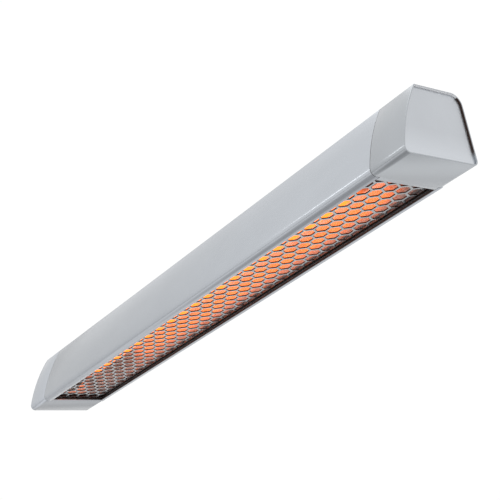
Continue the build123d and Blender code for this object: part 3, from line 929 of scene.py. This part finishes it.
def housing():
    bm = bmesh.new()
    end = SEAM_X - SEAM_GAP
    prism(bm, [housing_loop()], -end, end, EDGE)
    reach = end - 0.2 * MM
    for port in PORTS:
        prism(bm, [circle(port, PORT_R), circle(port, PORT_HOLE_R)], -reach, reach, 0.1 * MM)
    dress(finish_mesh("housing_profile", bm), "housing_extrusion")


def cap_stations():
    """Rings from the bulkhead's inner face, round the rim and down to the bulkhead's outer."""
    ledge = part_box("near_plate_gasket")[0].x
    rings = [(inset, SEAM_X + step) for inset, step in quarter(EDGE, 3)]
    rings += [(step, HALF_LENGTH - inset) for inset, step in quarter(0.3 * MM, 4)]
    rings += [(RIM - inset, HALF_LENGTH - step) for inset, step in quarter(0.2 * MM, 2)]
    rings += [(RIM, ledge), (CAP_WALL, ledge), (CAP_WALL, SEAM_X + 2 * MM)]
    return rings


def end_caps():
    """Castings, each with a tongue under the housing's opening and a step that fills its lips."""
    rings = [(cap_outline(inset), x) for inset, x in cap_stations()]
    cap = made("near_cap_casting", capped_loft, rings)
    gap = 0.15 * MM
    tongue = made("tongue", rounded_box, (CAP_LOW.x, FRONT_LIP_Y + gap, 0),
                  (SEAM_X + 1.6 * MM, REAR_LIP_Y - gap, WALL), 0.3 * MM)
    apply_boolean(cap, tongue, "UNION")
    step = made("step", rounded_box, (SEAM_X - 2.5 * MM, FRONT_LIP_Y + 2 * MM, 0.9 * MM),
                (SEAM_X + 1.5 * MM, REAR_LIP_Y - 2 * MM, 4.2 * MM), 0.2 * MM)
    apply_boolean(cap, step, "UNION")
    dress_both(cap, "far_cap_casting", "end_cap")


def drawn_in(loop):
    """The plate's outline with a slightly wider gap at the back, above its foot."""
    drawn = []
    for y, z in loop:
        back = min(1, max(0, (y - 25 * MM) / (12 * MM)))
        above = min(1, max(0, (z - 6 * MM) / (30 * MM)))
        drawn.append((y - 0.35 * MM * back * above, z))
    return drawn


def end_plates():
    low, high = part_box("near_end_plate")
    stations = [(inset, low.x + step) for inset, step in quarter(PLATE_EDGE, 4)]
    stations += [(inset, high.x - (x - low.x)) for inset, x in reversed(stations)]
    rings = [(drawn_in(cap_outline(RIM + PLATE_GAP + inset)), x) for inset, x in stations]
    plate = made("near_plate_sheet", capped_loft, rings)
    dress_both(plate, "far_plate_sheet", "end_plate")


# ---- guard
def cell_centres(margin):
    step = CELL_PITCH * math.sqrt(3) / 2
    low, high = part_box("hex_guard")
    first = math.floor((low.x - FIRST_CELL[0] - margin) / step)
    last = math.ceil((high.x - FIRST_CELL[0] + margin) / step)
    for column in range(first, last + 1):
        x = FIRST_CELL[0] + column * step
        shift = CELL_PITCH / 2 if column % 2 else 0.0
        for row in range(-3, 7):
            y = FIRST_CELL[1] + row * CELL_PITCH + shift
            if low.y - margin < y < high.y + margin:
                yield x, y


def hexagon_round(x, y, radius):
    return [(x + radius * math.cos(math.pi / 3 * i), y + radius * math.sin(math.pi / 3 * i))
            for i in range(6)]


def cut_away(bm, point, normal):
    """Removes what lies beyond a plane."""
    geometry = bm.verts[:] + bm.edges[:] + bm.faces[:]
    bmesh.ops.bisect_plane(bm, geom=geometry, dist=MERGE, plane_co=point, plane_no=normal,
                           clear_outer=True)


def guard():
    """Expanded sheet of hexagonal cells with slightly rounded bars, cut through at its rear edge."""
    low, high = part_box("hex_guard")
    border = -34.6 * MM
    weld = 1e-6
    bm = bmesh.new()
    for x, y in cell_centres(CELL_PITCH):
        outer, hole = (
            [bm.verts.new((*p, low.z)) for p in hexagon_round(x, y, across / math.sqrt(3))]
            for across in (CELL_PITCH, CELL_PITCH - BAR_WIDTH)
        )
        for i in range(6):
            j = (i + 1) % 6
            bm.faces.new((outer[i], outer[j], hole[j], hole[i]))
    bmesh.ops.remove_doubles(bm, verts=bm.verts, dist=weld)
    for point, normal in (((0, high.y, 0), (0, 1, 0)), ((0, border, 0), (0, -1, 0)),
                          ((high.x, 0, 0), (1, 0, 0)), ((low.x, 0, 0), (-1, 0, 0))):
        cut_away(bm, point, normal)
    bmesh.ops.dissolve_degenerate(bm, dist=weld, edges=bm.edges)
    bmesh.ops.recalc_face_normals(bm, faces=bm.faces)
    if bm.faces[0].normal.z > 0:
        bmesh.ops.reverse_faces(bm, faces=bm.faces)
    raised = bmesh.ops.extrude_face_region(bm, geom=bm.faces[:], use_keep_orig=True)["geom"]
    upper = [v for v in raised if isinstance(v, bmesh.types.BMVert)]
    bmesh.ops.translate(bm, verts=upper, vec=(0, 0, high.z - low.z))
    bmesh.ops.recalc_face_normals(bm, faces=bm.faces)
    steep = math.radians(80)
    rims = [e for e in bm.edges if len(e.link_faces) == 2 and e.calc_face_angle() > steep]
    bmesh.ops.bevel(bm, geom=rims, offset=BAR_EDGE, segments=2, affect="EDGES", profile=0.5,
                    clamp_overlap=True)
    thinner = 0.02 * MM
    rounded_box(bm, (low.x, low.y, low.z + thinner),
                (high.x, border + 0.2 * MM, high.z - thinner), 0.15 * MM, 2)
    dress(finish_mesh("hexagonal_guard_sheet", bm, SHEET_SHARP), "hex_guard")


# ---- reflector
def half_ellipse(grow):
    """Points over the reflector's crown, from the rear edge to the front."""
    return [
        (REFLECTOR_Y + (REFLECTOR_HALF_WIDTH + grow) * math.cos(math.pi * i / CROWN_STEPS),
         REFLECTOR_Z + (REFLECTOR_RISE + grow) * math.sin(math.pi * i / CROWN_STEPS))
        for i in range(CROWN_STEPS + 1)
    ]


def reflector():
    low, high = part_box("reflector")
    top = REFLECTOR_Z + REFLECTOR_T
    loop = [(high.y, REFLECTOR_Z)] + half_ellipse(0)
    loop += [(low.y, REFLECTOR_Z), (low.y, top)]
    loop += [p for p in half_ellipse(REFLECTOR_T)[::-1] if p[1] > top + 0.1 * MM]
    loop += [(high.y, top)]
    trough = made("reflector_trough", prism, [loop], low.x, high.x, 0.08 * MM, sharp=SHEET_SHARP)
    dress(trough, "reflector")


def end_reflectors():
    low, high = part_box("near_end_reflector")
    bore = circle((0, ELEMENT_Z), 6.05 * MM, 40)
    bm = bmesh.new()
    prism(bm, [half_ellipse(REFLECTOR_T - 0.1 * MM), bore], low.x + 0.02 * MM,
          low.x + REFLECTOR_T, 0.08 * MM)
    rim = half_ellipse(REFLECTOR_T) + half_ellipse(0)[::-1]
    prism(bm, [rim], low.x + 0.1 * MM, high.x, 0.1 * MM)
    pan = finish_mesh("near_reflector_pan", bm, SHEET_SHARP)
    dress_both(pan, "far_reflector_pan", "end_reflector")


# ---- element
def element():
    low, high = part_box("heating_element")
    edge = 0.8 * MM
    steps = 60
    stops = [low.x + edge + (high.x - low.x - 2 * edge) * i / steps for i in range(steps + 1)]
    profile = [(0, low.x), (ELEMENT_R - edge, low.x)]
    profile += [(ELEMENT_R, x) for x in stops]
    profile += [(ELEMENT_R - edge, high.x), (0, high.x)]
    dress(made("tubular_heating_element", lathe, profile, (0, ELEMENT_Z)), "heating_element")


def tube_along(bm, path, radius):
    """A round wire along points, its ends closed."""
    rings = []
    side = Vector((1, 0, 0))
    turns = [2 * math.pi * k / WIRE_STEPS for k in range(WIRE_STEPS)]
    for i, point in enumerate(path):
        ahead = path[min(i + 1, len(path) - 1)] - path[max(i - 1, 0)]
        ahead.normalize()
        other = ahead.cross(side).normalized()
        rings.append([
            bm.verts.new(point + (side * math.cos(a) + other * math.sin(a)) * radius)
            for a in turns
        ])
    skin(bm, rings)
    bm.faces.new(rings[0])
    bm.faces.new(rings[-1][::-1])


def hangers():
    """Wire loops round the element, their tails hooked through the reflector's crown."""
    low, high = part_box("element_hangers")
    wire_r, tail_y = 0.55 * MM, 0.4 * MM
    loop_r = ELEMENT_R + wire_r
    loop = arc((0, ELEMENT_Z), loop_r, math.radians(80), math.radians(80 - 340), 40)
    tail = [(tail_y, high.z - wire_r * 1.1), (tail_y, ELEMENT_Z + 12 * MM)]
    bm = bmesh.new()
    for x in (high.x - 1.5 * MM, low.x + 1.5 * MM):
        tube_along(bm, [Vector((x, y, z)) for y, z in tail + loop], wire_r)
    dress(finish_mesh("element_hanger_wires", bm, 60), "element_hangers")


def bushings():
    low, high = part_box("near_element_bushing")
    bore, neck_r, flange_r = ELEMENT_R + 0.05 * MM, 6.0 * MM, 8.5 * MM
    start, end = END_REFLECTOR_X + 0.85 * MM, END_REFLECTOR_X + 3.4 * MM
    soft = 0.4 * MM
    profile = [
        (bore, low.x + soft), (bore + soft, low.x), (neck_r - soft, low.x),
        (neck_r, low.x + soft), (neck_r, start), (flange_r - soft, start),
        (flange_r, start + soft), (flange_r, end - soft), (flange_r - soft, end),
        (neck_r, end), (neck_r, high.x - soft), (neck_r - soft, high.x),
        (bore + soft, high.x), (bore, high.x - soft),
    ]
    bushing = made("near_ceramic_bushing", lathe, profile, (0, ELEMENT_Z))
    dress_both(bushing, "far_ceramic_bushing", "element_bushing")


# ---- cable gland
def gland_axis():
    """Where the gland's upright axis passes, in (x, y)."""
    low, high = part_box("gland_body")
    return (low.x + high.x) / 2, (low.y + high.y) / 2


def gland_body():
    low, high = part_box("gland_body")
    hex_r, bore, stem_r = 8.0 * MM, 5.5 * MM, 6.6 * MM
    under = HEIGHT - 1 * MM
    bm = bmesh.new()
    hex_nut(bm, gland_axis(), GLAND_ACROSS, hex_r, HEIGHT, HEIGHT + 4.5 * MM, "Z", math.pi / 6)
    stem = [(stem_r, under), (stem_r, high.z), (hex_r, high.z), (hex_r, low.z + 0.6 * MM),
            (7.5 * MM, low.z), (bore, low.z), (bore, under)]
    lathe(bm, stem, gland_axis(), "Z")
    dress(finish_mesh("gland_lower_hex", bm), "gland_body")


def gland_dome_nut():
    """A hexagon under a ribbed dome."""
    low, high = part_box("gland_dome_nut")
    centre = gland_axis()
    shoulder = low.z + 6.3 * MM
    bm = bmesh.new()
    hex_nut(bm, centre, GLAND_ACROSS, 8.1 * MM, low.z, shoulder, "Z", math.pi / 6)
    crown_r, round_r, bore = 9.3 * MM, 3.5 * MM, 5.0 * MM
    dome = [(8.3 * MM, shoulder - 0.5 * MM), (crown_r, shoulder - 0.5 * MM)]
    dome += arc((crown_r - round_r, high.z - round_r), round_r, 0, math.pi / 2, 8)
    dome += [(5.4 * MM, high.z), (bore, high.z - 0.5 * MM), (bore, low.z + 6 * MM)]
    lathe(bm, dome, centre, "Z", 64)
    rib_r, rib_end = 0.35 * MM, high.z - 3.2 * MM
    rib = [(0, shoulder), (rib_r, shoulder), (rib_r, rib_end - rib_r),
           (rib_r * 0.7, rib_end - rib_r * 0.3), (0, rib_end)]
    for foot in circle(centre, 9.15 * MM, 12):
        lathe(bm, rib, foot, "Z", 8)
    dress(finish_mesh("gland_cap_nut", bm), "gland_dome_nut")


def gland_seal():
    low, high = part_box("gland_seal")
    soft, bore, outer = 0.5 * MM, 3.7 * MM, 6.5 * MM
    profile = [(bore + soft, high.z), (bore, high.z - soft), (bore, low.z + soft),
               (bore + soft, low.z), (outer - soft, low.z), (outer, low.z + soft),
               (outer, high.z - soft), (outer - soft, high.z)]
    dress(made("gland_rubber_insert", lathe, profile, gland_axis(), "Z"), "gland_seal")


# ---- brackets
def bent_strip(width, low, high, start, end):
    """A strip bent into a U: legs at both sides, a web at low. Pulled along Y."""
    side = 1 if high > low else -1
    turns = [math.pi / 2 * i / 6 for i in range(1, 7)]

    def face(depth):
        """One face of the strip, depth behind its outer face."""
        r = BEND - depth
        line = [(-width + depth, high), (-width + depth, low + side * BEND)]
        line += [(-width + BEND - r * math.cos(a), low + side * (BEND - r * math.sin(a)))
                 for a in turns]
        return line + [(-x, z) for x, z in reversed(line)]

    return made("strip", prism, [face(0) + face(SHEET_T)[::-1]], start, end, axis="Y")


def ear_block(half, edge, far_edge):
    """What a bracket's ears keep: straight sides and a round end about the pivot."""
    side = 1 if far_edge > edge else -1
    around = arc(PIVOT, EAR_R, 0, side * math.pi, 24)
    loop = [(PIVOT_Y + EAR_R, edge)] + around + [(PIVOT_Y - EAR_R, edge)]
    return made("ear_block", prism, [loop], -half, half)


def plate_piece(x, y_low, y_high, z_ends, radius):
    """A plate from -x to x with rounded corners."""
    middle = (y_low + y_high) / 2
    reach = (y_high - y_low) / 2 - radius
    quarter_turn = math.pi / 2
    loop = []
    for i, (sx, sy) in enumerate(((1, 1), (-1, 1), (-1, -1), (1, -1))):
        start = quarter_turn * i
        loop += arc((sx * (x - radius), sy * reach + middle), radius, start, start + quarter_turn, 6)
    return made("plate", prism, [loop], min(z_ends), max(z_ends), axis="Z")


def bent_bracket(half, web, tip, front, back, outer_plate, pivot_hole_r):
    """A sheet bent into a U, cut to a plate at web and two round-ended ears towards tip.
    outer_plate gives the plate's half-length and corner radius."""
    way = 1 if tip > web else -1
    strip = bent_strip(half, web, tip + way * MM, front, back)
    keep = ear_block(half + MM, web + way * 0.9 * SHEET_T, tip)
    under = web - way * MM
    slab = plate_piece(half + MM, front - MM, back + MM, (under, web + way * SHEET_T), 0.5 * MM)
    apply_boolean(keep, slab, "UNION")
    apply_boolean(strip, keep, "INTERSECT")
    length, corner_r = outer_plate
    trim = plate_piece(length, front, back, (under, tip + way * MM), corner_r)
    apply_boolean(strip, trim, "INTERSECT")
    hole = made("hole", prism, [circle(PIVOT, pivot_hole_r, 40)], -40 * MM, 40 * MM)
    apply_boolean(strip, hole, "DIFFERENCE")
    return strip


def soften(obj):
    """Rounds a sheet piece's cut edges."""
    modifier = obj.modifiers.new("edges", "BEVEL")
    modifier.width = 0.25 * MM
    modifier.segments = 2
    modifier.limit_method = "ANGLE"
    modifier.angle_limit = math.radians(35)
    modifier.harden_normals = True
    return settle(obj)


def bracket_foot():
    """Plate screwed to the housing's top, with two ears bent up."""
    outer = FOOT_EAR_X + SHEET_T
    strip = bent_bracket(outer, HEIGHT, PIVOT_Z + EAR_R, PIVOT_Y - 13 * MM, PIVOT_Y + 6 * MM,
                         (outer + MM, 3 * MM), PIVOT_R + 0.1 * MM)
    upper = HEIGHT + SHEET_T
    hole_r, sink_r = 2.2 * MM, 4.2 * MM
    sink = [(0, HEIGHT - MM), (hole_r, HEIGHT - MM), (hole_r, HEIGHT + 0.1 * MM),
            (sink_r, upper), (sink_r, upper + MM), (0, upper + MM)]
    for x in FOOT_SCREW_X:
        tool = made("sink", lathe, sink, (x, FOOT_SCREW_Y), "Z", 40)
        apply_boolean(strip, tool, "DIFFERENCE")
    return soften(strip)


def bracket_arm():
    """Slotted plate that bolts overhead, with two ears bent down between the foot's."""
    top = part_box("near_bracket_arm")[1].z
    strip = bent_bracket(ARM_EAR_X, top, PIVOT_Z - EAR_R, PIVOT_Y - 12 * MM, PIVOT_Y + 12 * MM,
                         (ARM_EAR_X + 0.5 * MM, 4 * MM), PIVOT_R + 0.05 * MM)
    slot_r, reach, up = 3.25 * MM, 2.75 * MM, math.pi / 2
    for x in (-17 * MM, 17 * MM):
        loop = arc((x + reach, PIVOT_Y), slot_r, -up, up, 16)
        loop += arc((x - reach, PIVOT_Y), slot_r, up, 3 * up, 16)
        tool = made("slot", prism, [loop], top - 5 * MM, top + MM, axis="Z")
        apply_boolean(strip, tool, "DIFFERENCE")
    return soften(strip)


def socketed(bm, centre, rounds, hollow, axis):
    """A screw's turned rings (radius, w), then its hexagon socket's (across flats, w)."""
    put = place(axis)
    rings = [ring(bm, circle(centre, r, ROUND_STEPS), w, put) for r, w in rounds]
    rings += [ring(bm, hex_loop(centre, across), w, put) for across, w in hollow]
    skin(bm, rings)
    bm.faces.new(rings[0])
    bm.faces.new(rings[-1])


def socket_head(bm, centre, start, reach, head_r, across, height):
    """A low domed head with a hexagon socket, from start along X to start + reach * height."""
    end = start + reach * height
    dome = height * 0.45
    rounds = [(head_r, start)]
    rounds += [(head_r - step, end - reach * inset) for inset, step in quarter(dome, 4)]
    hollow = [(across * 1.06, end), (across, end - reach * 0.12 * MM),
              (across, start + reach * height * 0.4)]
    socketed(bm, centre, rounds, hollow, "X")


def threaded(bm, centre, radius, start, end):
    """A shank along X with thread ridges, chamfered at its end."""
    pitch = 0.8 * MM
    root = radius * 0.86
    way = 1 if end > start else -1
    profile = [(0, start), (root, start)]
    for i in range(int(abs(end - start) / pitch)):
        base = start + way * pitch * i
        for r, part in ((root, 0.15), (radius, 0.45), (radius, 0.6), (root, 0.9)):
            profile.append((r, base + way * pitch * part))
    profile += [(radius * 0.8, end), (0, end)]
    lathe(bm, profile, centre, steps=32)


def pivot_bolts():
    """Button-head bolts through both ears of a bracket, heads inside."""
    bm = bmesh.new()
    head = ARM_EAR_X - SHEET_T - 0.1 * MM
    end = FOOT_EAR_X + 8 * MM
    for way in (1, -1):
        threaded(bm, PIVOT, PIVOT_R - 0.02 * MM, way * head, way * end)
        socket_head(bm, PIVOT, way * head, -way, 4.3 * MM, 3.0 * MM, 2.7 * MM)
    return finish_mesh("pivot_bolt_pair", bm)


def pivot_nuts():
    bm = bmesh.new()
    start = FOOT_EAR_X + SHEET_T + 1.0 * MM
    for way in (1, -1):
        hex_nut(bm, PIVOT, 8 * MM, PIVOT_R, way * start, way * (start + 4 * MM),
                turn=math.radians(17 * way))
    return finish_mesh("pivot_nut_pair", bm)


def washer_pair(name, start, end):
    outer_r = 5.0 * MM
    soft = min(0.15 * MM, abs(end - start) / 3)
    bore = PIVOT_R + 0.05 * MM
    bm = bmesh.new()
    for way in (1, -1):
        profile = [(bore, start), (outer_r - soft, start), (outer_r, start + soft),
                   (outer_r, end - soft), (outer_r - soft, end), (bore, end)]
        lathe(bm, [(r, way * x) for r, x in profile], PIVOT)
    return finish_mesh(name, bm)


def foot_screws():
    """Countersunk screws that hold the bracket feet to the nut plates."""
    low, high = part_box("foot_screws")
    shank_r, across = 2.0 * MM, 2.5 * MM
    rounds = [(1.6 * MM, low.z), (shank_r, low.z + 0.5 * MM), (shank_r, high.z - 1.9 * MM),
              (3.8 * MM, high.z - 0.15 * MM), (3.75 * MM, high.z)]
    hollow = [(across, high.z), (across, high.z - 1.2 * MM)]
    bm = bmesh.new()
    for side in (-1, 1):
        for step in FOOT_SCREW_X:
            centre = (side * BRACKET_X + step, FOOT_SCREW_Y)
            socketed(bm, centre, rounds, hollow, "Z")
    dress(finish_mesh("foot_screw_set", bm), "foot_screws")


def brackets():
    foot_outer = FOOT_EAR_X + SHEET_T
    masters = {
        "bracket_foot": bracket_foot(),
        "bracket_arm": bracket_arm(),
        "pivot_bolts": pivot_bolts(),
        "pivot_nuts": pivot_nuts(),
        "friction_washers": washer_pair("nylon_washers", ARM_EAR_X + 0.1 * MM, FOOT_EAR_X),
        "pivot_washers": washer_pair("steel_washers", foot_outer, foot_outer + MM),
    }
    for end, side in (("near", 1), ("far", -1)):
        for kind, master in masters.items():
            move = Matrix.Translation((side * BRACKET_X, 0, 0))
            dress(copied(master, f"{end}_{kind}_detailed", move), f"{end}_{kind}")
    for master in masters.values():
        bpy.data.objects.remove(master)


housing()
end_caps()
end_plates()
guard()
reflector()
end_reflectors()
element()
hangers()
bushings()
gland_body()
gland_dome_nut()
gland_seal()
brackets()
foot_screws()

for node, obj in frame["nodes"].items():
    obj.data.materials.clear()
    obj.data.materials.append(SLOT_MATERIAL[NODE_SLOT[node]])
